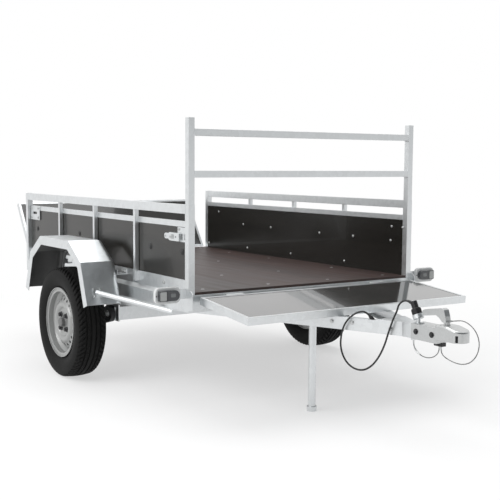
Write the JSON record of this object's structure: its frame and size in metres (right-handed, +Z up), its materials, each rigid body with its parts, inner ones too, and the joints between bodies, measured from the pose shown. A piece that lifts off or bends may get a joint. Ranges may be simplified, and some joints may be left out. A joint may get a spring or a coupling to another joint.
{
  "type": "utility trailer",
  "caption": "Small open road trailer with folding front and rear gates, a ladder frame, a V drawbar with ball coupling and a fold-up prop stand.",
  "frame": {"origin": "on the ground, centre of the trailer's length and width, cords left out", "axes": "+X forwards to the coupling, +Y to the trailer's left, +Z up"},
  "size_m": [3.3729, 1.8, 1.32],
  "materials": {
    "galvanised_steel": "hot-dip galvanised, satin with spangle",
    "zinc_coupling": "zinc plated pressing, satin",
    "dark_steel": "dark coated steel",
    "cast_hub": "plain cast and turned",
    "wheel_silver": "silver paint",
    "tyre_rubber": "matte",
    "film_plywood": "film-faced plywood, semi-gloss",
    "floor_plywood": "phenolic plywood, satin",
    "lamp_housing": "pale moulded base",
    "smoked_lens": "clear lens over a dark reflector",
    "red_lens": "red moulded lens",
    "black_plastic": "moulded",
    "cable_sheath": "satin sheath",
    "steel_rope": "bright strand"
  },
  "bodies": {
    "trailer": {"axle_arm_left": "dark_steel", "axle_arm_right": "dark_steel", "axle_beam": "galvanised_steel", "board_cap_left": "galvanised_steel", "board_cap_right": "galvanised_steel", "cable_gland": "black_plastic", "coupling_body": "zinc_coupling", "coupling_handle": "zinc_coupling", "cross_members": "galvanised_steel", "drawbar_head": "galvanised_steel", "drawbar_leg_left": "galvanised_steel", "drawbar_leg_right": "galvanised_steel", "floor_panel": "floor_plywood", "front_beam": "galvanised_steel", "ladder_frame": "galvanised_steel", "latches_left": "galvanised_steel", "latches_right": "galvanised_steel", "lighting_cable": "cable_sheath", "lighting_plug": "black_plastic", "long_rope": "steel_rope", "marker_bracket_left": "galvanised_steel", "marker_bracket_right": "galvanised_steel", "marker_lamp_left": "lamp_housing", "marker_lamp_right": "lamp_housing", "marker_lens_left": "smoked_lens", "marker_lens_right": "smoked_lens", "mudguard_left": "galvanised_steel", "mudguard_right": "galvanised_steel", "mudguard_stays_left": "galvanised_steel", "mudguard_stays_right": "galvanised_steel", "plug_holder": "galvanised_steel", "prop_bracket": "galvanised_steel", "rear_beam": "galvanised_steel", "rear_lamp_bracket_left": "galvanised_steel", "rear_lamp_bracket_right": "galvanised_steel", "rear_lamp_left": "red_lens", "rear_lamp_right": "red_lens", "rope_clip": "galvanised_steel", "rope_pad": "black_plastic", "short_rope": "steel_rope", "side_beam_left": "galvanised_steel", "side_beam_right": "galvanised_steel", "side_board_left": "film_plywood", "side_board_right": "film_plywood", "side_frame_left": "galvanised_steel", "side_frame_right": "galvanised_steel"},
    "wheel_left": {"hub_left": "cast_hub", "rim_left": "wheel_silver", "tyre_left": "tyre_rubber"},
    "wheel_right": {"hub_right": "cast_hub", "rim_right": "wheel_silver", "tyre_right": "tyre_rubber"},
    "front_gate": {"front_gate_frame": "galvanised_steel", "front_gate_panel": "film_plywood"},
    "tailgate": {"tailgate_frame": "galvanised_steel", "tailgate_panel": "film_plywood"},
    "prop_stand": {"prop_leg": "galvanised_steel"}
  },
  "joints": [
    {"name": "wheel_left_spin", "type": "hinge", "parent": "trailer", "child": "wheel_left", "pos_m": [-0.36697, 0.8066, 0.289], "axis": [0, 1, 0], "continuous": true},
    {"name": "wheel_right_spin", "type": "hinge", "parent": "trailer", "child": "wheel_right", "pos_m": [-0.36697, -0.8066, 0.289], "axis": [0, 1, 0], "continuous": true},
    {"name": "front_gate_hinge", "type": "hinge", "parent": "trailer", "child": "front_gate", "pos_m": [0.63603, 0, 0.5215], "axis": [0, -1, 0], "range_deg": [0, 95.8]},
    {"name": "tailgate_hinge", "type": "hinge", "parent": "trailer", "child": "tailgate", "pos_m": [-1.38997, 0, 0.5215], "axis": [0, 1, 0], "range_deg": [-61.3, 34.5]},
    {"name": "prop_stand_fold", "type": "hinge", "parent": "trailer", "child": "prop_stand", "pos_m": [0.88088, -0.16726, 0.424], "axis": [-0.4027, 0.9153, 0], "range_deg": [0, 90]}
  ]
}
